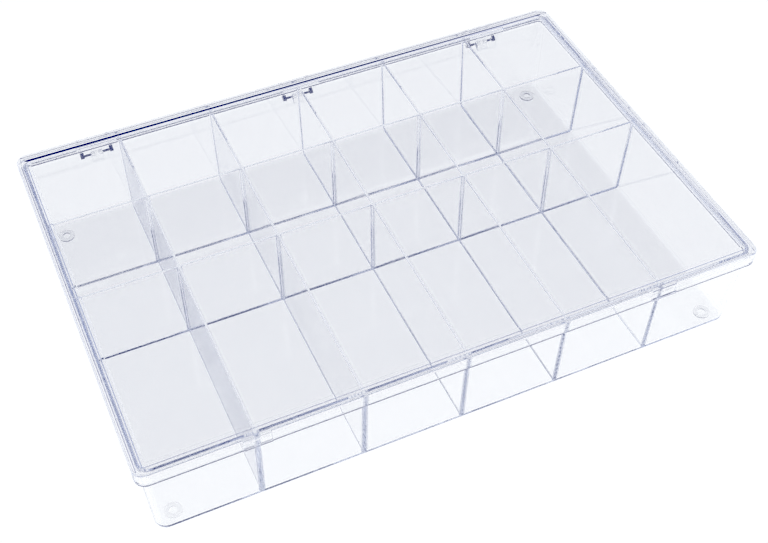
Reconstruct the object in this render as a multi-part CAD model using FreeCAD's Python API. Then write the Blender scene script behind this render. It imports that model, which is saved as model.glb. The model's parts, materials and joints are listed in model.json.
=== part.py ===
import FreeCAD, Part
import math
import os

from FreeCAD import Vector

# Clear compartment tray with a hinged lid, in millimetres.
# +X runs along the long side, +Y points to the hinged rear side and +Z is up.
# The origin is the middle of the footprint, on the surface that the feet stand on.

# ---- driving dimensions ----

# Lid, measured over its skirt (13 1/8 in by 9 in), and the height of the closed box (2 1/4 in).
lid_length = 333.4
lid_depth = 228.6
box_height = 57.0
lid_corner_radius = 6.0
skirt_thickness = 2.0
skirt_drop = 8.5
rim_thickness = 2.0
rim_width_side = 6.7
rim_width_front = 7.3
rim_width_rear = 8.6
panel_step = 1.3
panel_thickness = 1.6
border_corner_radius = 1.0

# Tray. Its walls lean inwards towards the floor so that it leaves its mould.
skirt_gap = 0.5
seat_gap = 0.3
tray_wall = 1.8
wall_lean = 2.5
tray_corner_radius = 6.5
foot_height = 0.8
floor_thickness = 1.8
floor_edge_radius = 1.5

# Dividers, thinner at the top than at the floor.
divider_top_thickness = 1.2
divider_floor_thickness = 1.5
divider_headroom = 0.5
columns = 6
long_divider_y = {"front": 2.0, "rear": 57.5}

# Ring feet.
foot_outer_radius = 4.5
foot_inner_radius = 2.2
foot_inset = 10.0

# Snap hinges: pegs reach inwards from two lid ears into the ends of a tray knuckle.
hinge_spacing = 122.5
hinge_axis_z = 44.6
knuckle_radius = 1.5
knuckle_length = 6.6
peg_radius = 0.9
peg_length = 6.0
peg_fit = 0.05
peg_end_gap = 0.3
ear_side_gap = 4.1
ear_thickness = 2.0
hinge_window_width = 23.0
hinge_window_depth = 1.8
tongue_thickness = 1.0
core_notch_width = 4.0
core_notch_depth = 2.0

# Snap latches: a thin tab of the skirt with a thumb lip outside and a bead inside.
latch_x = 109.0
latch_width = 14.0
latch_tab_thickness = 1.4
thumb_lip_height = 2.4
bead_height = 1.2
proud = 0.6
catch_width = 12.0
catch_height = 1.6
catch_depth = 0.4
catch_base_z = 50.6

# ---- derived sizes ----

lid_half_x = lid_length / 2
lid_half_y = lid_depth / 2
rim_underside = box_height - rim_thickness
skirt_bottom = box_height - skirt_drop
panel_top = box_height - panel_step
panel_underside = panel_top - panel_thickness
border_x = lid_half_x - rim_width_side
border_front = -lid_half_y + rim_width_front
border_rear = lid_half_y - rim_width_rear

tray_top = rim_underside - seat_gap
tray_top_half_x = lid_half_x - skirt_thickness - skirt_gap
tray_top_half_y = lid_half_y - skirt_thickness - skirt_gap
floor_underside = foot_height
floor_top = foot_height + floor_thickness
lean_slope = wall_lean / (tray_top - floor_underside)
divider_top = panel_underside - divider_headroom

compartment_width = (2 * (tray_top_half_x - tray_wall) + divider_top_thickness) / columns
cross_divider_x = [compartment_width * (n - columns / 2) for n in range(1, columns)]

hinge_axis_y = lid_half_y + proud - knuckle_radius
hinge_x = {"left": -hinge_spacing, "centre": 0.0, "right": hinge_spacing}
latch_places = {"left": -latch_x, "right": latch_x}
margin = 1.0


def inset_at(z):
    """How far the tray's outer face has leaned in at height z, below its top edge."""
    return lean_slope * (tray_top - z)


def rounded_outline(half_x, half_y, radius, z):
    """A level rectangle with round corners, centred on the origin, at height z."""
    arcs = []
    for quarter, (side_x, side_y) in enumerate(((1, 1), (-1, 1), (-1, -1), (1, -1))):
        centre = Vector(side_x * (half_x - radius), side_y * (half_y - radius), z)
        turns = [math.radians(90 * quarter + step) for step in (0, 45, 90)]
        points = [centre + Vector(radius * math.cos(t), radius * math.sin(t), 0) for t in turns]
        arcs.append(points)
    edges = []
    for index, (start, middle, end) in enumerate(arcs):
        edges.append(Part.Arc(start, middle, end).toShape())
        edges.append(Part.LineSegment(end, arcs[(index + 1) % 4][0]).toShape())
    return Part.Wire(edges)


def rounded_slab(half_x, half_y, radius, low, high):
    """An upright block with round vertical corners between two heights."""
    outline = rounded_outline(half_x, half_y, radius, low)
    return Part.Face(outline).extrude(Vector(0, 0, high - low))


def leaning_block(inside_by, low, high):
    """The tray's outer form, or its hollow when inside_by is the wall's thickness."""
    outlines = []
    for z in (low, high):
        inset = inset_at(z) + inside_by
        half_x = tray_top_half_x - inset
        half_y = tray_top_half_y - inset
        outlines.append(rounded_outline(half_x, half_y, tray_corner_radius - inside_by, z))
    return Part.makeLoft(outlines, True, True)


def box_between(low, high):
    """A plain box from its lowest corner to its highest corner."""
    size = [top - bottom for bottom, top in zip(low, high)]
    return Part.makeBox(*size, Vector(*low))


def bar_from_side_section(section, x_low, x_high):
    """A bar along X from a closed list of (y, z) points."""
    points = [Vector(x_low, y, z) for y, z in section]
    face = Part.Face(Part.makePolygon(points + points[:1]))
    return face.extrude(Vector(x_high - x_low, 0, 0))


def save(name, shape):
    """Write one node, merging coplanar faces first."""
    shape.removeSplitter().exportStep("parts/" + name + ".step")


os.makedirs("parts", exist_ok=True)

# ---- tray floor and walls ----

outer_form = leaning_block(0, floor_underside, tray_top)
hollow = leaning_block(tray_wall, floor_top, tray_top)
far = lid_half_x + lid_half_y

floor_space = box_between((-far, -far, floor_underside), (far, far, floor_top))
floor_plate = outer_form.common(floor_space)
underside_edges = [edge for edge in floor_plate.Edges if edge.BoundBox.ZMax < floor_underside + 0.01]
save("tray_floor", floor_plate.makeFillet(floor_edge_radius, underside_edges))

wall_ring = outer_form.cut(floor_space).cut(hollow)
corner_x = tray_top_half_x - wall_lean - tray_corner_radius
corner_y = tray_top_half_y - wall_lean - tray_corner_radius

rear_wall = wall_ring.common(box_between((-corner_x, corner_y, 0), (corner_x, far, box_height)))
for x in hinge_x.values():
    notch_low = (x - core_notch_width / 2, corner_y, tray_top - core_notch_depth)
    notch_high = (x + core_notch_width / 2, far, box_height)
    rear_wall = rear_wall.cut(box_between(notch_low, notch_high))
save("tray_rear_wall", rear_wall)

wall_spaces = {
    "tray_front_wall": ((-corner_x, -far, 0), (corner_x, -corner_y, box_height)),
    "tray_left_wall": ((-far, -corner_y, 0), (-corner_x, corner_y, box_height)),
    "tray_right_wall": ((corner_x, -corner_y, 0), (far, corner_y, box_height)),
    "tray_corner_front_left": ((-far, -far, 0), (-corner_x, -corner_y, box_height)),
    "tray_corner_front_right": ((corner_x, -far, 0), (far, -corner_y, box_height)),
    "tray_corner_rear_left": ((-far, corner_y, 0), (-corner_x, far, box_height)),
    "tray_corner_rear_right": ((corner_x, corner_y, 0), (far, far, box_height)),
}
for name, (low, high) in wall_spaces.items():
    save(name, wall_ring.common(box_between(low, high)))

# ---- dividers ----

divider_section = [
    (-divider_floor_thickness / 2, floor_top),
    (divider_floor_thickness / 2, floor_top),
    (divider_top_thickness / 2, divider_top),
    (-divider_top_thickness / 2, divider_top),
]

long_dividers = {}
for name, y in long_divider_y.items():
    section = [(y + across, z) for across, z in divider_section]
    long_dividers[name] = bar_from_side_section(section, -lid_half_x, lid_half_x).common(hollow)
    save("long_divider_" + name, long_dividers[name])

for number, x in enumerate(cross_divider_x, start=1):
    bar = bar_from_side_section(divider_section, -lid_half_y, lid_half_y)
    bar.rotate(Vector(0, 0, 0), Vector(0, 0, 1), 90)
    bar.translate(Vector(x, 0, 0))
    bar = bar.common(hollow)
    for long_divider in long_dividers.values():
        bar = bar.cut(long_divider)
    save("cross_divider_%d" % number, bar)

# ---- feet ----

foot_x = tray_top_half_x - wall_lean - foot_inset
foot_y = tray_top_half_y - wall_lean - foot_inset
for side_name, side_y in (("front", -1), ("rear", 1)):
    for end_name, end_x in (("left", -1), ("right", 1)):
        place = Vector(end_x * foot_x, side_y * foot_y, 0)
        disc = Part.makeCylinder(foot_outer_radius, foot_height, place)
        hole = Part.makeCylinder(foot_inner_radius, foot_height, place)
        save("foot_%s_%s" % (side_name, end_name), disc.cut(hole))

# ---- hinges ----


def rear_face_y(z):
    """Where the tray's rear wall has its outer face at height z."""
    return tray_top_half_y - inset_at(z)


def knuckle(x):
    """A round boss on a sloping gusset, with a blind hole in each end for a peg."""
    y, z, r = hinge_axis_y, hinge_axis_z, knuckle_radius
    slant = r * math.sqrt(0.5)
    top_of_boss = Vector(0, y, z + r)
    outermost = Vector(0, y + r, z)
    under_boss = Vector(0, y + slant, z - slant)
    top_on_wall = Vector(0, rear_face_y(z + r), z + r)
    # The gusset falls at 45 degrees from the boss until it meets the leaning wall.
    fall = (under_boss.y - rear_face_y(under_boss.z)) / (1 - lean_slope)
    foot_on_wall = Vector(0, under_boss.y - fall, under_boss.z - fall)
    edges = [
        Part.LineSegment(top_on_wall, top_of_boss).toShape(),
        Part.Arc(top_of_boss, outermost, under_boss).toShape(),
        Part.LineSegment(under_boss, foot_on_wall).toShape(),
        Part.LineSegment(foot_on_wall, top_on_wall).toShape(),
    ]
    boss = Part.Face(Part.Wire(edges)).extrude(Vector(knuckle_length, 0, 0))
    boss.translate(Vector(x - knuckle_length / 2, 0, 0))
    hole_radius = peg_radius + peg_fit
    hole_depth = peg_length - ear_side_gap + peg_end_gap
    for side in (-1, 1):
        mouth = Vector(x + side * knuckle_length / 2, y, z)
        boss = boss.cut(Part.makeCylinder(hole_radius, hole_depth, mouth, Vector(-side, 0, 0)))
    return boss


def ear(x, side):
    """A strap hanging from the skirt, round at its foot, with a peg towards the knuckle."""
    y, z, r = hinge_axis_y, hinge_axis_z, knuckle_radius
    inner = Vector(0, y - r, z)
    outer = Vector(0, y + r, z)
    skirt_inner = Vector(0, lid_half_y - skirt_thickness, skirt_bottom)
    skirt_outer = Vector(0, lid_half_y, skirt_bottom)
    edges = [
        Part.LineSegment(inner, skirt_inner).toShape(),
        Part.LineSegment(skirt_inner, skirt_outer).toShape(),
        Part.LineSegment(skirt_outer, outer).toShape(),
        Part.Arc(outer, Vector(0, y, z - r), inner).toShape(),
    ]
    face_x = x + side * (knuckle_length / 2 + ear_side_gap)
    strap = Part.Face(Part.Wire(edges)).extrude(Vector(side * ear_thickness, 0, 0))
    strap.translate(Vector(face_x, 0, 0))
    peg = Part.makeCylinder(peg_radius, peg_length, Vector(face_x, y, z), Vector(-side, 0, 0))
    return strap.fuse(peg)


for name, x in hinge_x.items():
    save("hinge_knuckle_" + name, knuckle(x))
    ears = [ear(x, side).removeSplitter() for side in (-1, 1)]
    save("hinge_pegs_" + name, Part.makeCompound(ears))

# ---- lid ----


def lid_window(low, high):
    """The sunken part of the lid's top, with a wider bay in front of each hinge."""
    half_x = border_x
    half_y = (border_rear - border_front) / 2
    window = rounded_slab(half_x, half_y, border_corner_radius, low, high)
    window.translate(Vector(0, (border_rear + border_front) / 2, 0))
    for x in hinge_x.values():
        bay_low = (x - hinge_window_width / 2, border_rear - margin, low)
        bay_high = (x + hinge_window_width / 2, border_rear + hinge_window_depth, high)
        window = window.fuse(box_between(bay_low, bay_high))
    return window


flange_half_y = (border_rear - border_front) / 2 + panel_thickness
flange_radius = border_corner_radius + panel_thickness
flange = rounded_slab(border_x + panel_thickness, flange_half_y, flange_radius,
                      panel_underside, rim_underside)
flange.translate(Vector(0, (border_rear + border_front) / 2, 0))
panel = flange.fuse(lid_window(rim_underside, panel_top))
panel = panel.fuse(lid_window(panel_top - tongue_thickness, rim_underside))
save("lid_panel", panel)

skirt_form = rounded_slab(lid_half_x, lid_half_y, lid_corner_radius, skirt_bottom, rim_underside)
skirt_hollow = rounded_slab(lid_half_x - skirt_thickness, lid_half_y - skirt_thickness,
                            lid_corner_radius - skirt_thickness, skirt_bottom, rim_underside)
skirt_ring = skirt_form.cut(skirt_hollow)
rim_ring = rounded_slab(lid_half_x, lid_half_y, lid_corner_radius, rim_underside, box_height)
rim_ring = rim_ring.cut(lid_window(rim_underside, box_height))

lid_sides = {
    "front": ((-border_x, -far, 0), (border_x, border_front, box_height)),
    "rear": ((-border_x, border_rear, 0), (border_x, far, box_height)),
    "left": ((-far, border_front, 0), (-border_x, border_rear, box_height)),
    "right": ((border_x, border_front, 0), (far, border_rear, box_height)),
}
lid_corners = {
    "front_left": ((-far, -far, 0), (-border_x, border_front, box_height)),
    "front_right": ((border_x, -far, 0), (far, border_front, box_height)),
    "rear_left": ((-far, border_rear, 0), (-border_x, far, box_height)),
    "rear_right": ((border_x, border_rear, 0), (far, far, box_height)),
}
for name, (low, high) in lid_corners.items():
    save("lid_corner_" + name, skirt_ring.fuse(rim_ring).common(box_between(low, high)))
for name, (low, high) in lid_sides.items():
    space = box_between(low, high)
    save("lid_rim_" + name, rim_ring.common(space))
    skirt = skirt_ring.common(space)
    if name == "front":
        for x in latch_places.values():
            gap_low = (x - latch_width / 2, -far, 0)
            gap_high = (x + latch_width / 2, 0, box_height)
            skirt = skirt.cut(box_between(gap_low, gap_high))
    save("lid_skirt_" + name, skirt)

# ---- latches ----

tab_outer = -lid_half_y
tab_inner = tab_outer + latch_tab_thickness
bead_tip = tab_outer + skirt_thickness
lip_slope = proud
tab_section = [
    (tab_outer, rim_underside),
    (tab_outer, skirt_bottom + thumb_lip_height),
    (tab_outer - proud, skirt_bottom + thumb_lip_height - lip_slope),
    (tab_outer - proud, skirt_bottom + lip_slope),
    (tab_outer, skirt_bottom),
    (bead_tip, skirt_bottom),
    (bead_tip, skirt_bottom + bead_height / 2),
    (tab_inner, skirt_bottom + bead_height),
    (tab_inner, rim_underside),
]


def front_face_y(z):
    """Where the tray's front wall has its outer face at height z."""
    return -tray_top_half_y + inset_at(z)


catch_tip_z = catch_base_z + catch_height / 2
catch_section = [
    (front_face_y(catch_base_z), catch_base_z),
    (front_face_y(catch_tip_z) - catch_depth, catch_tip_z),
    (front_face_y(catch_base_z + catch_height), catch_base_z + catch_height),
]
for name, x in latch_places.items():
    tab = bar_from_side_section(tab_section, x - latch_width / 2, x + latch_width / 2)
    save("latch_tab_" + name, tab)
    catch = bar_from_side_section(catch_section, x - catch_width / 2, x + catch_width / 2)
    save("latch_catch_" + name, catch)
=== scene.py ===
# %% [markdown]
# # A clear compartment tray with a hinged lid
# The real object is two injection mouldings in clear polystyrene: a tray with its dividers
# moulded in, and a flat lid with a raised rim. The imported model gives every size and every
# place, and this script gives the two mouldings their true continuous shape, with drafted
# walls, fillets and rounded edges, because clear plastic shows its form through its edges.

# %% Load the frame
import json
import math

import bmesh
import bpy
import numpy as np
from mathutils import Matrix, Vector


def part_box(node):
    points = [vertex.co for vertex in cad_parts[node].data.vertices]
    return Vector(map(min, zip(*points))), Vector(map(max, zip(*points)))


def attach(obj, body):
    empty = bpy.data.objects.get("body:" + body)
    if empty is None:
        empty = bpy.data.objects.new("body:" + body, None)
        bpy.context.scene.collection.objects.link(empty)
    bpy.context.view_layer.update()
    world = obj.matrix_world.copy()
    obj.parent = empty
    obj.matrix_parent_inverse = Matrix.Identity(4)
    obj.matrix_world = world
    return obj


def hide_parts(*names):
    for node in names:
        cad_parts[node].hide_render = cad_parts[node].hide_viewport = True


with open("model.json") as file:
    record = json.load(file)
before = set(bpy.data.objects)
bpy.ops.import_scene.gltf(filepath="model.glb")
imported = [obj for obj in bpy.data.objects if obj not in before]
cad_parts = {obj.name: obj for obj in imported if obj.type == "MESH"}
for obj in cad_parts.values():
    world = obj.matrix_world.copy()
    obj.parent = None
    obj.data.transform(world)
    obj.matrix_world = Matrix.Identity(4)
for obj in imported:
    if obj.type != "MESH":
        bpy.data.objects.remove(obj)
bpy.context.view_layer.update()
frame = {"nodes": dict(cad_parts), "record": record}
MM = 0.001

# %% [markdown]
# ## The camera
# The camera stands in front of the latch side, a little to the left, and looks down at
# about 48 degrees. It is placed by an azimuth, an elevation and a distance from a point
# near the middle of the tray, so that each number has a plain meaning.

# %% Camera
CAMERA_AZIMUTH = -24.36
CAMERA_ELEVATION = 48.04
CAMERA_DISTANCE = 664.5 * MM
CAMERA_TARGET = Vector((-5.7, -24.8, 30.0)) * MM
CAMERA_LENS = 58.17


def add_camera():
    """The camera sits on a sphere round the target: the sphere's radius is the distance."""
    azimuth, elevation = math.radians(CAMERA_AZIMUTH), math.radians(CAMERA_ELEVATION)
    back = Vector((
        math.sin(azimuth) * math.cos(elevation),
        -math.cos(azimuth) * math.cos(elevation),
        math.sin(elevation),
    ))
    data = bpy.data.cameras.new("camera")
    data.lens = CAMERA_LENS
    data.sensor_width = 36.0
    camera = bpy.data.objects.new("camera", data)
    camera.location = CAMERA_TARGET + back * CAMERA_DISTANCE
    camera.rotation_euler = (-back).to_track_quat("-Z", "Y").to_euler()
    bpy.context.scene.collection.objects.link(camera)
    bpy.context.scene.camera = camera
    return camera


camera = add_camera()
print("camera at, mm:", [round(c / MM, 1) for c in camera.location])

# %% [markdown]
# ## Sizes taken from the frame
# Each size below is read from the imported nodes. Only small things that the nodes leave out,
# such as fillets and rounded edges, get numbers of their own.

# %% Sizes of the lid
lid_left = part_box("lid_rim_left")
lid_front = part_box("lid_rim_front")
lid_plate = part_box("lid_panel")
lid_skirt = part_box("lid_skirt_left")
LID_X = -lid_left[0].x
LID_Y = -lid_front[0].y
LID_TOP = lid_front[1].z
RIM_UNDERSIDE = lid_front[0].z
BORDER_X = -lid_left[1].x
BORDER_FRONT = lid_left[0].y
BORDER_REAR = lid_left[1].y
BAY_REAR = lid_plate[1].y
PANEL_TOP = lid_plate[1].z
PANEL_UNDERSIDE = lid_plate[0].z
SKIRT_BOTTOM = lid_skirt[0].z
SKIRT_WALL = lid_skirt[1].x - lid_skirt[0].x
FLANGE = -lid_plate[0].x - BORDER_X
LID_CORNER = 6.0 * MM
BAY_WIDTH = 23.0 * MM
print("lid, mm:", round(2 * LID_X / MM, 1), "by", round(2 * LID_Y / MM, 1))

# %% [markdown]
# The tray leans in towards its floor, by its draft, so that it leaves the mould. The lean is
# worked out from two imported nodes: the side wall is widest at its top edge, and the floor
# says how far in the wall stands at its foot.

# %% Sizes of the tray
side_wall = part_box("tray_left_wall")
end_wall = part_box("tray_front_wall")
floor_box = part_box("tray_floor")
TRAY_TOP = side_wall[1].z
TRAY_X = -side_wall[0].x
TRAY_Y = -end_wall[0].y
FLOOR_TOP = floor_box[1].z
FLOOR_UNDERSIDE = floor_box[0].z
LEAN = (TRAY_X + floor_box[0].x) / (TRAY_TOP - FLOOR_TOP)
TRAY_WALL = side_wall[1].x - floor_box[0].x
TRAY_CORNER = 6.5 * MM
DIVIDER_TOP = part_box("cross_divider_1")[1].z
DIVIDER_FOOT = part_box("cross_divider_1")[1].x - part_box("cross_divider_1")[0].x
DIVIDER_CREST = 1.2 * MM
COLUMN_LINES = [sum(v.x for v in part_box("cross_divider_%d" % n)) / 2 for n in range(1, 6)]
ROW_LINES = [sum(v.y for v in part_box("long_divider_" + n)) / 2 for n in ("front", "rear")]
print("tray wall, mm:", round(TRAY_WALL / MM, 2), "lean, degrees:",
      round(math.degrees(math.atan(LEAN)), 2))

# %% [markdown]
# ## Helpers for surfaces
# A moulding is drawn as rows of points: each row is an outline, and each next row is the
# same outline a little further along the wall's profile. Quads join neighbouring rows.

# %% Rows of points to quads
AIR_FILM = 0.02 * MM
ROUND_STEPS = 5


def skin(rows):
    """Quads between neighbouring rows; the last point of a row joins the first."""
    rows = np.asarray(rows, float)
    index = np.arange(rows.shape[0] * rows.shape[1]).reshape(rows.shape[:2])
    here, above = index[:-1], index[1:]
    quads = np.stack([here, np.roll(here, -1, 1), np.roll(above, -1, 1), above], -1)
    return rows.reshape(-1, 3), quads.reshape(-1, 4).tolist()


def cap(row):
    """One flat face over a row of points."""
    return np.asarray(row, float), [list(range(len(row)))]


def arc(start, end, steps, include_end=True):
    """Angles from start to end in radians."""
    angles = np.linspace(math.radians(start), math.radians(end), steps + 1)
    return angles if include_end else angles[:-1]


# %% [markdown]
# Patches become one closed skin by merging the points where they meet. Flat faces have to
# stay flat to the eye, because a bent normal bends the view through clear plastic: so every
# edge sharper than the rounds' own steps is marked sharp, and the normals are weighted by
# the faces' areas.

# %% Patches to a closed mesh
WELD_DISTANCE = 0.002 * MM
SHARP_ANGLE = 20
FLAT_FACE_WEIGHT = 100


def weld(name, patches):
    """Joins patches into one mesh, merges what coincides and turns the faces outwards."""
    points = np.concatenate([p for p, _ in patches])
    starts = np.cumsum([0] + [len(p) for p, _ in patches[:-1]])
    faces = [[i + int(start) for i in face] for start, (_, part) in zip(starts, patches)
             for face in part]
    mesh = bpy.data.meshes.new(name)
    mesh.from_pydata(points.tolist(), [], faces)
    bm = bmesh.new()
    bm.from_mesh(mesh)
    bmesh.ops.remove_doubles(bm, verts=bm.verts, dist=WELD_DISTANCE)
    bmesh.ops.recalc_face_normals(bm, faces=bm.faces)
    open_edges = sum(1 for e in bm.edges if not e.is_manifold)
    bm.to_mesh(mesh)
    volume = bm.calc_volume()
    bm.free()
    mesh.shade_smooth()
    mesh.set_sharp_from_angle(angle=math.radians(SHARP_ANGLE))
    piece = bpy.data.objects.new(name, mesh)
    bpy.context.scene.collection.objects.link(piece)
    normals = piece.modifiers.new("flat_faces_stay_flat", "WEIGHTED_NORMAL")
    normals.weight = FLAT_FACE_WEIGHT
    normals.keep_sharp = True
    print(name, "faces", len(mesh.polygons), "open edges", open_edges,
          "volume, cm3:", round(volume * 1e6, 1))
    return piece


# %% [markdown]
# ## The tray's pockets
# Each compartment is a pocket with a flat floor, a fillet all round it, walls that lean
# outwards, and a round in each upright corner. An outline at height z is a rectangle with
# round corners whose sides follow the lean of the wall or divider on that side.

# %% Outline of a pocket
CORNER_STEPS = 8
CORNER_SIGNS = ((1, 1), (-1, 1), (-1, -1), (1, -1))


def outline(sides, radii, z):
    """Four quarter circles in a row: sides are (low x, high x, low y, high y)."""
    rings = []
    for quarter, (sx, sy) in enumerate(CORNER_SIGNS):
        r = radii[quarter]
        centre_x = sides[1] - r if sx > 0 else sides[0] + r
        centre_y = sides[3] - r if sy > 0 else sides[2] + r
        turn = arc(90 * quarter, 90 * quarter + 90, CORNER_STEPS)
        rings.append(np.stack([centre_x + r * np.cos(turn), centre_y + r * np.sin(turn),
                               np.full(len(turn), z)], 1))
    return np.concatenate(rings)


# %% [markdown]
# Round its mouth a pocket meets its neighbours half way across the dividers. That border is
# a rectangle with square corners, except where it is a corner of the whole tray. Its points
# are spread so that each lies opposite a point of the round outline, for clean quads.

# %% Border of a cell
def cell_edge(pocket_row, sides, tray_corners, z):
    """The cell's own border, point for point opposite the pocket's outline."""
    steps = np.linspace(0, 1, CORNER_STEPS // 2 + 1)[:, None]
    rings = []
    for quarter, (sx, sy) in enumerate(CORNER_SIGNS):
        part = pocket_row[quarter * (CORNER_STEPS + 1):(quarter + 1) * (CORNER_STEPS + 1)]
        if tray_corners[quarter]:
            rings.append(part)
            continue
        corner = np.array([sides[1] if sx > 0 else sides[0],
                           sides[3] if sy > 0 else sides[2], z])
        first, last = part[0].copy(), part[-1].copy()
        along = quarter % 2
        first[along] = corner[along]
        last[1 - along] = corner[1 - along]
        rings.append(np.concatenate([first + (corner - first) * steps,
                                     corner + (last - corner) * steps[1:]]))
    return np.concatenate(rings)


# %% [markdown]
# A wall keeps its thickness as it leans. A divider is a thin wedge, thickest at its foot,
# because both of its faces need draft.

# %% Walls and dividers by height
def wall_inner(z, half):
    """Half size of the tray's hollow at height z."""
    return half - TRAY_WALL - LEAN * (TRAY_TOP - z)


def divider_half(z):
    """Half thickness of a divider at height z."""
    share = (DIVIDER_TOP - z) / (DIVIDER_TOP - FLOOR_TOP)
    return (DIVIDER_CREST + (DIVIDER_FOOT - DIVIDER_CREST) * share) / 2


# %% [markdown]
# A pocket is swept from its floor up: the fillet first, then straight to the crest, then
# over the crest's round and across to the cell's border.

# %% One pocket
POCKET_CORNER = 1.2 * MM
POCKET_FILLET = 1.0 * MM
FILLET_STEPS = 6
CREST_ROUND = 0.5 * MM


def pocket(column, row):
    """All rows of one pocket, from its floor up to its crest, and its cell's border."""
    lines_x = [None] + COLUMN_LINES + [None]
    lines_y = [None] + ROW_LINES + [None]
    bounds = [lines_x[column], lines_x[column + 1], lines_y[row], lines_y[row + 1]]
    outward = (-1, 1, -1, 1)
    halves = (TRAY_X, TRAY_X, TRAY_Y, TRAY_Y)
    is_wall = [line is None for line in bounds]

    def sides_at(z, inset=0.0, crest=0.0):
        result = []
        for line, way, half, wall in zip(bounds, outward, halves, is_wall):
            if wall:
                result.append(way * (wall_inner(z, half) - inset))
            else:
                result.append(line - way * (divider_half(z) + inset - crest))
        return result

    tray_corners = [is_wall[1 if sx > 0 else 0] and is_wall[3 if sy > 0 else 2]
                    for sx, sy in CORNER_SIGNS]
    radii = [TRAY_CORNER - TRAY_WALL if t else POCKET_CORNER for t in tray_corners]
    rows = []
    for turn in arc(0, 90, FILLET_STEPS):
        inset = POCKET_FILLET * (1 - math.sin(turn))
        z = FLOOR_TOP + POCKET_FILLET * (1 - math.cos(turn))
        rows.append(outline(sides_at(z, inset), [r - inset for r in radii], z))
    for turn in arc(0, 90, ROUND_STEPS):
        crest = CREST_ROUND * (1 - math.cos(turn))
        z = DIVIDER_TOP - CREST_ROUND * (1 - math.sin(turn))
        rows.append(outline(sides_at(z, crest=crest), radii, z))
    z = DIVIDER_TOP
    cell = [way * wall_inner(z, half) if wall else line
            for line, way, half, wall in zip(bounds, outward, halves, is_wall)]
    rows.append(cell_edge(rows[-1], cell, tray_corners, z))
    return rows


# %% [markdown]
# ## The tray's outer walls
# The border of the eighteen cells is one closed loop round the hollow. The walls carry on
# from that loop: up, over a rounded top edge, down the leaning outer face, round the bottom
# edge and under the floor. Each row keeps the loop's points and moves them along the
# outline's normal, so the corners stay round.

# %% Rows of the outer wall
TOP_EDGE_ROUND = 0.4 * MM
REAR_FALL = 0.62
REAR_SINK = 0.35 * MM
REAR_DEPTH = 1.0 * MM
BOTTOM_ROUND = 2.4 * MM
BOTTOM_STEPS = 8
ON_LINE = 1e-9


def wall_rows(loop):
    """Rows that carry the loop's profile over the wall and under the floor."""
    base_x, base_y = wall_inner(DIVIDER_TOP, TRAY_X), wall_inner(DIVIDER_TOP, TRAY_Y)
    base_r = TRAY_CORNER - TRAY_WALL
    reach = np.array([base_x - base_r, base_y - base_r])
    centre = np.clip(loop[:, :2], -reach, reach)
    normal = (loop[:, :2] - centre) / base_r
    in_corner = (np.abs(centre) > reach - ON_LINE).all(1)[:, None]
    shift_way = np.where(in_corner, np.sign(centre), np.round(normal))

    rear = np.clip(normal[:, 1], 0, 1) ** 2
    top = TRAY_TOP - TOP_EDGE_ROUND
    inner = wall_inner(top, TRAY_X)

    def ring(z, half_x, radius):
        inset = base_x - half_x
        moved = centre - shift_way * (inset + radius - base_r) + normal * radius
        on_top = z > top - REAR_DEPTH
        across = max(half_x - inner - TOP_EDGE_ROUND / 2, 0)
        fall = REAR_SINK + REAR_FALL * across if on_top else 0
        return np.column_stack([moved, z - fall * rear])

    rows = [loop]
    for turn in arc(0, 90, ROUND_STEPS):
        out = TOP_EDGE_ROUND * (1 - math.cos(turn))
        rows.append(ring(top + TOP_EDGE_ROUND * math.sin(turn), inner + out, base_r + out))
    outer = TRAY_X - LEAN * TOP_EDGE_ROUND - AIR_FILM
    for turn in arc(90, 0, ROUND_STEPS):
        back = TOP_EDGE_ROUND * (1 - math.cos(turn))
        rows.append(ring(top + TOP_EDGE_ROUND * math.sin(turn), outer - back,
                         TRAY_CORNER - back))
    low = FLOOR_UNDERSIDE + AIR_FILM + BOTTOM_ROUND
    lowest = TRAY_X - LEAN * (TRAY_TOP - low) - AIR_FILM
    for turn in arc(0, 90, BOTTOM_STEPS):
        back = BOTTOM_ROUND * (1 - math.cos(turn))
        rows.append(ring(low - BOTTOM_ROUND * math.sin(turn), lowest - back,
                         TRAY_CORNER - back))
    return rows


# %% [markdown]
# The real tray is shot in one go, and so is this one: the pockets and the wall are welded
# into a single skin. The loop for the wall is picked out of the pockets' borders as the
# points that lie on the hollow's own outline, put in order by their bearing.

# %% Tray moulding
BORDER_TOLERANCE = 0.001 * MM
BEARING_DECIMALS = 7


def make_tray():
    """Eighteen pockets welded to one wall that runs round them all."""
    patches, borders = [], []
    for column in range(6):
        for row in range(3):
            rows = pocket(column, row)
            patches += [cap(rows[0]), skin(rows)]
            borders.append(rows[-1])
    points = np.concatenate(borders)
    inner = np.array([wall_inner(DIVIDER_TOP, TRAY_X), wall_inner(DIVIDER_TOP, TRAY_Y)])
    radius = TRAY_CORNER - TRAY_WALL
    off = np.abs(points[:, :2]) - (inner - radius)
    distance = np.hypot(*np.clip(off, 0, None).T) + np.minimum(off.max(1), 0)
    loop = points[distance > radius - BORDER_TOLERANCE]
    order = np.round(np.arctan2(loop[:, 1], loop[:, 0]), BEARING_DECIMALS)
    loop = loop[np.unique(order, return_index=True)[1]]
    rows = wall_rows(loop)
    patches += [skin(rows), cap(rows[-1])]
    return weld("tray_moulding", patches)


tray = make_tray()

# %% [markdown]
# ## The lid
# The lid is one profile carried round a rectangle with round corners: the sunken panel, the
# step up to the rim, the rim, the rounded outer edge, the skirt, and back underneath. Beside
# each hinge the step moves out into a shallow bay, and at each latch the skirt becomes a
# thinner tab with a thumb lip outside, so those points come in pairs that can part.

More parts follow.
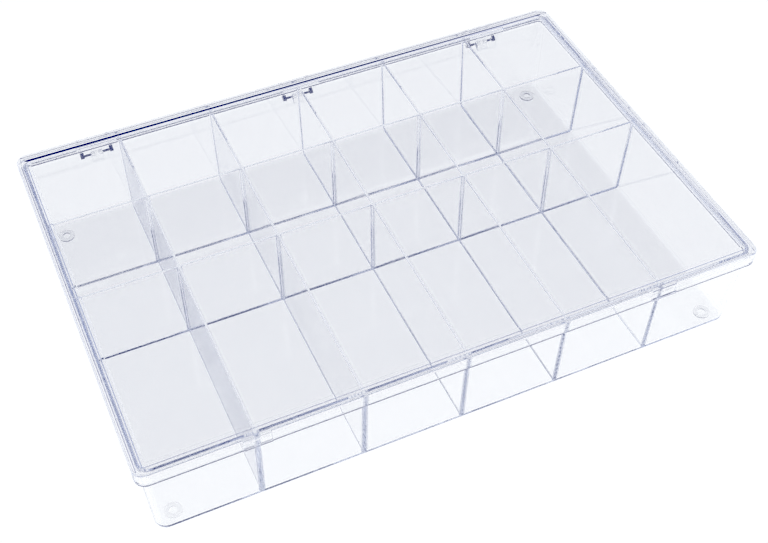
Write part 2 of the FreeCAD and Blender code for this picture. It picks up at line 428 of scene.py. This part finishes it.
# %% Path round the lid
HINGES = [sum(v.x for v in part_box("hinge_knuckle_" + n)) / 2 for n in ("left", "centre", "right")]
LATCHES = [sum(v.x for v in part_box("latch_tab_" + n)) / 2 for n in ("left", "right")]
LATCH_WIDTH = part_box("latch_tab_left")[1].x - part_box("latch_tab_left")[0].x
PROUD = -LID_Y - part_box("latch_tab_left")[0].y
LID_CORNER_STEPS = 10


def lid_path():
    """Arrays along the path: place along a side, normal, corner sign, bay and tab flags."""
    spots = []
    for quarter, (sx, sy) in enumerate(CORNER_SIGNS):
        for turn in arc(90 * quarter, 90 * quarter + 90, LID_CORNER_STEPS):
            spots.append((0.0, math.cos(turn), math.sin(turn), sx, sy, 0, 0))
        if quarter == 0:
            for x in sorted(HINGES, reverse=True):
                for edge, inside in ((BAY_WIDTH / 2, (0, 1)), (-BAY_WIDTH / 2, (1, 0))):
                    spots += [(x + edge, 0, 1, 0, 1, flag, 0) for flag in inside]
        if quarter == 2:
            for x in sorted(LATCHES):
                for edge, inside in ((-LATCH_WIDTH / 2, (0, 1)), (LATCH_WIDTH / 2, (1, 0))):
                    spots += [(x + edge, 0, -1, 0, -1, 0, flag) for flag in inside]
    return np.array(spots, float).T


PATH = lid_path()

# %% [markdown]
# Every row of the lid is the same path drawn further in or out. The rear band is wider than
# the others, and the front one a little, so their distances can be given apart.

# %% One row of the lid
def lid_row(z, out, radius, front_out=None, rear_out=None, bay=0.0, tab=0.0, drop=0.0):
    """The lid's path at height z, moved in from the outer edge by out on every side.

    bay and tab move the points beside hinges and latches, and drop lowers the rear side.
    """
    along, nx, ny, sx, sy, in_bay, in_tab = PATH
    front_out = out if front_out is None else front_out
    rear_out = out if rear_out is None else rear_out
    centre_x = sx * (LID_X - out - radius)
    centre_y = np.where(sy > 0, LID_Y - rear_out - radius, -(LID_Y - front_out - radius))
    x = np.where(sx == 0, along, centre_x + nx * radius)
    y = centre_y + ny * radius + in_bay * bay - in_tab * tab
    return np.column_stack([x, y, z - drop * np.clip(ny, 0, 1) ** 2])


# %% [markdown]
# The profile is read like a section drawing, clockwise from the sunken panel. Under the rear
# rim it slopes down towards the skirt, and the tray's rear wall is lower and slopes with it.
# That slope is an assumption, not a measured shape: seen from the front it throws the view
# up into the dark of the room, and so draws the dark line that runs along the rear rim.

# %% The lid's profile
BORDER_CORNER = 1.0 * MM
STEP_FILLET = 0.4 * MM
STEP_ROUND = 0.3 * MM
RIM_ROUND = 1.0 * MM
SKIRT_ROUND = 0.4 * MM
UNDER_FILLET = 0.5 * MM
TAB_WALL = 1.4 * MM
REAR_DROP = 0.90 * MM
REAR_SLOPE_START = 3.4 * MM
REAR_SLOPE_END = 5.6 * MM
LIP_HEIGHT = 2.4 * MM
BEAD_HEIGHT = 1.2 * MM
RIM_STEPS = 6


def border_row(z, extra, bay):
    """A row on the border between panel and rim, extra further in."""
    return lid_row(z, LID_X - BORDER_X + extra, BORDER_CORNER,
                   front_out=LID_Y + BORDER_FRONT + extra, rear_out=LID_Y - BORDER_REAR + extra,
                   bay=bay)


def lid_rows():
    """The whole profile, from the panel's upper face round to its underside."""
    deep = BAY_REAR - BORDER_REAR
    rows = [border_row(PANEL_TOP, STEP_FILLET, 0.0)]
    for turn in arc(0, 90, ROUND_STEPS):
        rows.append(border_row(PANEL_TOP + STEP_FILLET * (1 - math.cos(turn)),
                               STEP_FILLET * (1 - math.sin(turn)), deep))
    for turn in arc(0, 90, ROUND_STEPS):
        rows.append(border_row(LID_TOP - STEP_ROUND * (1 - math.sin(turn)),
                               -STEP_ROUND * (1 - math.cos(turn)), deep))
    for turn in arc(90, 0, RIM_STEPS):
        back = RIM_ROUND * (1 - math.cos(turn))
        rows.append(lid_row(LID_TOP - RIM_ROUND * (1 - math.sin(turn)), back,
                            LID_CORNER - back))
    lip_top = SKIRT_BOTTOM + LIP_HEIGHT
    rows.append(lid_row(lip_top, 0, LID_CORNER))
    rows.append(lid_row(lip_top - PROUD, 0, LID_CORNER, tab=PROUD))
    rows.append(lid_row(SKIRT_BOTTOM + PROUD, 0, LID_CORNER, tab=PROUD))
    bottom = SKIRT_BOTTOM + AIR_FILM
    for turn in arc(0, 90, ROUND_STEPS):
        back = SKIRT_ROUND * (1 - math.cos(turn))
        rows.append(lid_row(bottom + SKIRT_ROUND * (1 - math.sin(turn)), back, LID_CORNER - back))
    for turn in arc(90, 0, ROUND_STEPS):
        back = SKIRT_WALL - SKIRT_ROUND * (1 - math.cos(turn))
        rows.append(lid_row(bottom + SKIRT_ROUND * (1 - math.sin(turn)), back, LID_CORNER - back))
    inner_radius = LID_CORNER - SKIRT_WALL
    thin = SKIRT_WALL - TAB_WALL
    rows.append(lid_row(SKIRT_BOTTOM + BEAD_HEIGHT / 2, SKIRT_WALL, inner_radius))
    rows.append(lid_row(SKIRT_BOTTOM + BEAD_HEIGHT, SKIRT_WALL, inner_radius, tab=thin))
    for turn in arc(0, 90, ROUND_STEPS):
        back = UNDER_FILLET * (1 - math.cos(turn))
        rows.append(lid_row(RIM_UNDERSIDE - UNDER_FILLET * (1 - math.sin(turn)),
                            SKIRT_WALL + back, inner_radius - back, tab=thin, drop=REAR_DROP))
    for out, rear_out, drop in ((SKIRT_WALL + 2 * UNDER_FILLET, REAR_SLOPE_START, REAR_DROP),
                                (SKIRT_WALL + 3 * UNDER_FILLET, REAR_SLOPE_END, 0.0)):
        rows.append(lid_row(RIM_UNDERSIDE, out, LID_CORNER - out, rear_out=rear_out, drop=drop))
    for turn in arc(0, 90, ROUND_STEPS):
        back = UNDER_FILLET * (1 - math.sin(turn))
        rows.append(border_row(RIM_UNDERSIDE - UNDER_FILLET * (1 - math.cos(turn)),
                               -FLANGE - back, 0.0))
    for turn in arc(0, 90, ROUND_STEPS):
        back = STEP_FILLET * (1 - math.cos(turn))
        rows.append(border_row(PANEL_UNDERSIDE + STEP_FILLET * (1 - math.sin(turn)),
                               -FLANGE + back, 0.0))
    return rows


# %% [markdown]
# The lid is also shot in one go. The panel's two faces close the skin above and below.

# %% Lid moulding
def make_lid():
    """One skin along the profile and a flat cap over each face of the panel."""
    rows = lid_rows()
    return weld("lid_moulding", [cap(rows[0]), skin(rows), cap(rows[-1])])


lid = make_lid()

# %% [markdown]
# ## The hinge arms
# Two arms hang from the rear skirt at each hinge. Each is flat underneath and flat behind,
# with a sloping front, and a peg reaches inwards from it into the tray's knuckle. A corner
# of clear plastic that is flat below and behind sends light back up, so it looks dark.

# %% Section of an arm and of its bar
PIVOT = np.array(frame["record"]["behaviour"]["joints"][0]["pos_m"][1:])
ARM_INSIDE, ARM_OUTSIDE = 7.4 * MM, 9.4 * MM
KNUCKLE_HALF = 3.3 * MM
PEG_END = 1.4 * MM
PEG_RADIUS = 0.9 * MM
ARM_PROFILE = ((-1.4, -0.7), (1.4, -0.7), (1.4, 2.6), (0.85, 3.86), (-0.6, 3.86),
               (0.8, 2.3), (-1.4, 0.1))
BAR_PROFILE = ((-0.4, -0.7), (0.5, -0.7), (0.5, 0.15), (0.4, 0.15), (-0.4, -0.6))


def prism(profile, start, end):
    """A profile of (y, z) points carried along x, with a flat cap at each end."""
    flat = np.array(profile)
    rows = [np.column_stack([np.full(len(flat), x), flat]) for x in (start, end)]
    return [skin(rows), cap(rows[0]), cap(rows[1])]


# %% [markdown]
# The real arms are part of the lid's moulding. Here they are a piece of their own that
# rides with the lid, because they are prisms that run across the profile of its rear skirt.

# %% Hinge arms, both sides of each knuckle
PIN_STEPS = 24


def make_hinge_arms():
    """For each hinge and side: an arm, the bar that reaches inwards, and its round end."""
    turn = arc(0, 360, PIN_STEPS, include_end=False)
    pin = np.column_stack([PEG_RADIUS * np.cos(turn), PEG_RADIUS * np.sin(turn)])
    patches = []
    for x in HINGES:
        for side in (-1, 1):
            spans = (
                (np.array(ARM_PROFILE) * MM, ARM_INSIDE, ARM_OUTSIDE),
                (np.array(BAR_PROFILE) * MM, KNUCKLE_HALF + AIR_FILM, ARM_INSIDE - AIR_FILM),
                (pin, PEG_END, KNUCKLE_HALF),
            )
            for profile, start, end in spans:
                patches += prism(profile + PIVOT, x + side * start, x + side * end)
    return weld("hinge_arms", patches)


arms = make_hinge_arms()

# %% [markdown]
# ## Clear polystyrene
# Crystal polystyrene is a hard, brilliantly clear plastic with a refractive index of 1.59,
# higher than glass. A touch of blue toner is added to hide its natural yellow, which shows
# where light has travelled a long way through it, at edges and along dividers.

# %% Colour helper
def linear(hex_colour):
    """An sRGB hex colour as the linear values that a shader wants."""
    channels = [int(hex_colour[i:i + 2], 16) / 255 for i in (1, 3, 5)]
    return [c / 12.92 if c <= 0.04045 else ((c + 0.055) / 1.055) ** 2.4 for c in channels]


def add_node(tree, kind, settings=None, links=None):
    """Adds a node; settings name inputs or properties, links join inputs to sockets."""
    node = tree.nodes.new(kind)
    for key, value in (settings or {}).items():
        if key in node.inputs:
            node.inputs[key].default_value = value
        else:
            setattr(node, key, value)
    for key, socket in (links or {}).items():
        tree.links.new(socket, node.inputs[key])
    return node


# %% [markdown]
# The mould is polished, so the faces are glossy, but two things keep them from being
# perfect. Melt that cools as it flows leaves very shallow, broad swells, and the parts that
# are handled get a fine uneven haze. The first is a bump with a wavelength of about a
# centimetre; the second is a roughness that wanders between nothing and a faint blur.

# %% Clear plastic
POLYSTYRENE_IOR = 1.59
SWELLS_PER_METRE = 90.0
SWELL_HEIGHT = 0.004 * MM
HAZE_PER_METRE = 240.0
HAZE_FROM = 0.55
HAZE_MOST = 0.01
TONER_COLOUR = "#9fb4e0"
TONER_DENSITY = 1.2


def clear_polystyrene(name):
    """Clear polystyrene, injection moulded against a polished steel mould."""
    material = bpy.data.materials.new(name)
    material.use_nodes = True
    tree = material.node_tree
    tree.nodes.clear()
    where = add_node(tree, "ShaderNodeTexCoord").outputs["Object"]
    swells = add_node(tree, "ShaderNodeTexNoise",
                      {"Scale": SWELLS_PER_METRE, "Detail": 1.0}, {"Vector": where})
    relief = add_node(tree, "ShaderNodeBump", {"Strength": 1.0, "Distance": SWELL_HEIGHT},
                      {"Height": swells.outputs[0]})
    patches = add_node(tree, "ShaderNodeTexNoise",
                       {"Scale": HAZE_PER_METRE, "Detail": 4.0}, {"Vector": where})
    haze = add_node(tree, "ShaderNodeMapRange",
                    {"From Min": HAZE_FROM, "From Max": 1.0, "To Max": HAZE_MOST},
                    {"Value": patches.outputs[0]})
    shader = add_node(tree, "ShaderNodeBsdfPrincipled", {
        "Base Color": (*linear("#ffffff"), 1), "IOR": POLYSTYRENE_IOR,
        "Transmission Weight": 1.0,
    }, {"Roughness": haze.outputs[0], "Normal": relief.outputs["Normal"]})
    toner = add_node(tree, "ShaderNodeVolumeAbsorption", {
        "Color": (*linear(TONER_COLOUR), 1), "Density": TONER_DENSITY,
    })
    add_node(tree, "ShaderNodeOutputMaterial", links={
        "Surface": shader.outputs["BSDF"], "Volume": toner.outputs["Volume"],
    })
    return material


# %% [markdown]
# Both mouldings are the same plastic. The small features that already have their true shape
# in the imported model, the knuckles, catches and ring feet, stay as they are and wear it too.

# %% Which piece is which moulding
plastic = clear_polystyrene("clear_polystyrene_moulded")
TRAY_NODES = frame["record"]["behaviour"]["bodies"]["tray"]
LID_NODES = frame["record"]["behaviour"]["bodies"]["lid"]
KEPT = ("hinge_knuckle", "latch_catch", "foot_")
ARMS = [n for n in LID_NODES if n.startswith("hinge_pegs")]
LID_SHELL = [n for n in LID_NODES if n not in ARMS]
for piece, body, members in ((tray, "tray", TRAY_NODES), (lid, "lid", LID_SHELL),
                             (arms, "lid", ARMS)):
    piece.data.materials.append(plastic)
    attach(piece, body)
    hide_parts(*[n for n in members if not n.startswith(KEPT)])
for name, node in frame["nodes"].items():
    if name.startswith(KEPT):
        node.data.materials.clear()
        node.data.materials.append(plastic)

# %% [markdown]
# ## Studio
# The floor is a plain white light table and the room above it is dim and bluish. Clear
# plastic has no colour of its own: it shows white where it bends the view down to the floor
# and dark where it bends the view up into the room.

# %% Floor
scene = bpy.context.scene
FLOOR_HALF = 6.0
FLOOR_LEVEL = -0.2 * MM
LIGHT_TABLE_COLOUR = "#fafcff"
LIGHT_TABLE_POWER = 1.07


def add_floor():
    """A wide flat white floor, lit from within like a light table."""
    corners = [(sx * FLOOR_HALF, sy * FLOOR_HALF, FLOOR_LEVEL) for sx, sy in CORNER_SIGNS]
    mesh = bpy.data.meshes.new("floor")
    mesh.from_pydata(corners, [], [(0, 1, 2, 3)])
    floor = bpy.data.objects.new("floor", mesh)
    scene.collection.objects.link(floor)
    material = bpy.data.materials.new("white_light_table")
    material.use_nodes = True
    tree = material.node_tree
    tree.nodes.clear()
    glow = add_node(tree, "ShaderNodeEmission",
                    {"Color": (*linear(LIGHT_TABLE_COLOUR), 1), "Strength": LIGHT_TABLE_POWER})
    add_node(tree, "ShaderNodeOutputMaterial", links={"Surface": glow.outputs["Emission"]})
    mesh.materials.append(material)
    return floor


floor = add_floor()

# %% [markdown]
# The room is one smooth gradient. Its dark part runs overhead from front to back, where the
# hinge arms and the rear rim send the view, and its pale part is low down and at both sides,
# where the walls and dividers send it.

# %% Room
SIDE_PALENESS = -0.7
ROOM_STOPS = (0.08, 0.25)
ROOM_COLOURS = ("#e4e8f8", "#181f58")


def light_room():
    """A room that is dark overhead, from front to back, and pale low down and at both sides."""
    world = bpy.data.worlds.new("studio_room")
    scene.world = world
    world.use_nodes = True
    tree = world.node_tree
    tree.nodes.clear()
    where = add_node(tree, "ShaderNodeTexCoord")
    split = add_node(tree, "ShaderNodeSeparateXYZ", links={"Vector": where.outputs["Generated"]})
    aside = add_node(tree, "ShaderNodeMath", {"operation": "ABSOLUTE"},
                     {"Value": split.outputs["X"]})
    above = add_node(tree, "ShaderNodeMath", {"operation": "MULTIPLY_ADD"})
    above.inputs[1].default_value = SIDE_PALENESS
    tree.links.new(aside.outputs["Value"], above.inputs[0])
    tree.links.new(split.outputs["Z"], above.inputs[2])
    ramp = add_node(tree, "ShaderNodeValToRGB", links={"Fac": above.outputs["Value"]})
    steps = ramp.color_ramp
    steps.elements[0].position, steps.elements[1].position = ROOM_STOPS
    for element, colour in zip(steps.elements, ROOM_COLOURS):
        element.color = (*linear(colour), 1)
    light = add_node(tree, "ShaderNodeBackground", {"Strength": 1.0},
                     {"Color": ramp.outputs["Color"]})
    add_node(tree, "ShaderNodeOutputWorld", links={"Surface": light.outputs["Background"]})


light_room()

# %% [markdown]
# The tones are shown as they are, with the black point raised a little in every view for the
# crisp look of a product picture. Light that enters a divider bounces between its leaning
# faces hundreds of times before it leaves, so its paths may be long.

# %% Tones and light paths
DARKEST_TONE = (0.10, 0.095, 0.06)
LIGHT_PATH_LENGTH = 400

scene.view_settings.view_transform = "Standard"
scene.view_settings.use_curve_mapping = True
scene.view_settings.curve_mapping.black_level = DARKEST_TONE
for setting in ("max_bounces", "transmission_bounces", "glossy_bounces"):
    setattr(scene.cycles, setting, LIGHT_PATH_LENGTH)
